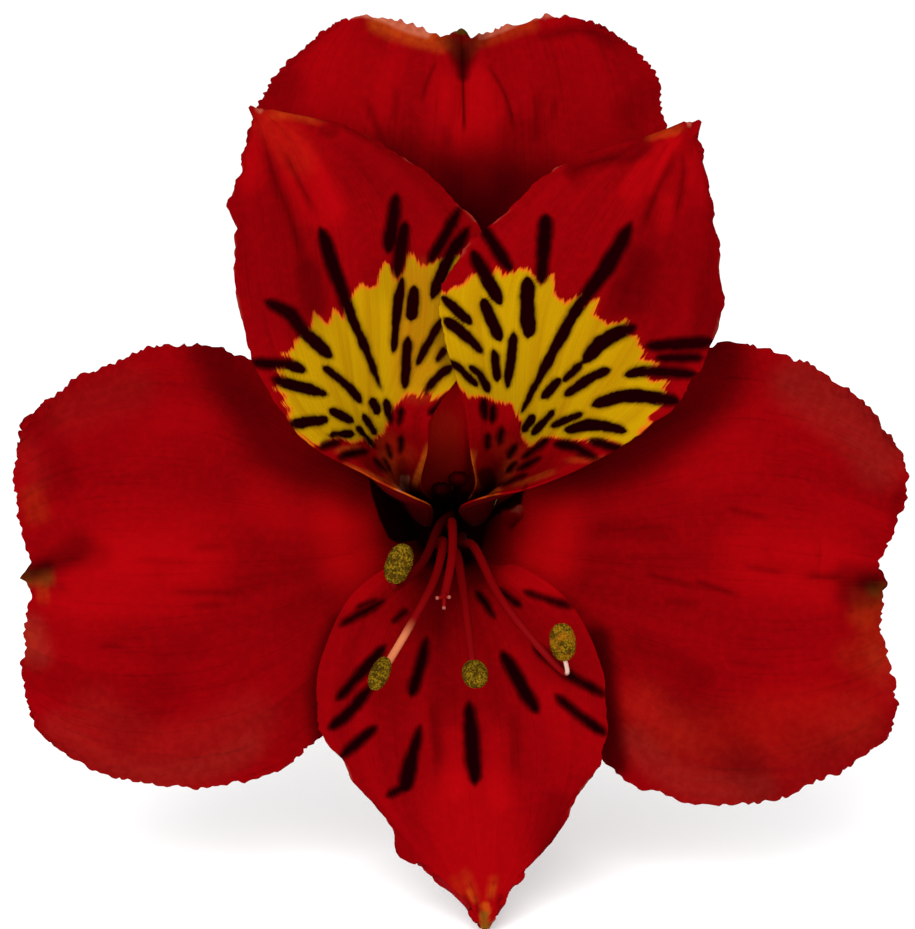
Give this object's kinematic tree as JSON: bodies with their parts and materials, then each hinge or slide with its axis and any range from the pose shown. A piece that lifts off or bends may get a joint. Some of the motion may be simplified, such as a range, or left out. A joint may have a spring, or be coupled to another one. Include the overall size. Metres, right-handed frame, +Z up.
{
  "type": "alstroemeria stem",
  "caption": "Cut alstroemeria lying down: an open bloom with broad notched outer tepals, spotted inner tepals, curved stamens and a short leafy stem.",
  "frame": {"origin": "on the surface that the stem lies on, under the middle of the part's outline", "axes": "+Z up, -Y the way the bloom faces, +Y along the stem to its cut end, +X to the right of someone who looks at the bloom"},
  "size_m": [0.0846, 0.2398, 0.0835],
  "materials": {
    "outer_tepal": "fresh red petal, satin",
    "inner_tepal": "fresh red petal with a yellow blotch and dark streaks, satin",
    "filament": "smooth red stalk",
    "anther": "olive yellow, grainy with pollen, and dark red where still closed",
    "style": "smooth red stalk with pale pink tips",
    "ovary": "green, smooth, six ribs",
    "stem": "green, smooth",
    "leaf": "green, satin, lengthwise veins"
  },
  "bodies": {
    "root": {"outer_tepal_top": "outer_tepal", "outer_tepal_left": "outer_tepal", "outer_tepal_right": "outer_tepal", "inner_tepal_left": "inner_tepal", "inner_tepal_right": "inner_tepal", "inner_tepal_lower": "inner_tepal", "filament_1": "filament", "filament_2": "filament", "filament_3": "filament", "filament_4": "filament", "filament_5": "filament", "filament_6": "filament", "anther_1": "anther", "anther_2": "anther", "anther_3": "anther", "anther_4": "anther", "anther_5": "anther", "anther_6": "anther", "style": "style", "ovary": "ovary", "pedicel": "stem", "stem": "stem", "bract_1": "leaf", "bract_2": "leaf", "bract_3": "leaf", "leaf_1": "leaf", "leaf_2": "leaf", "leaf_3": "leaf", "leaf_4": "leaf"}
  },
  "joints": []
}
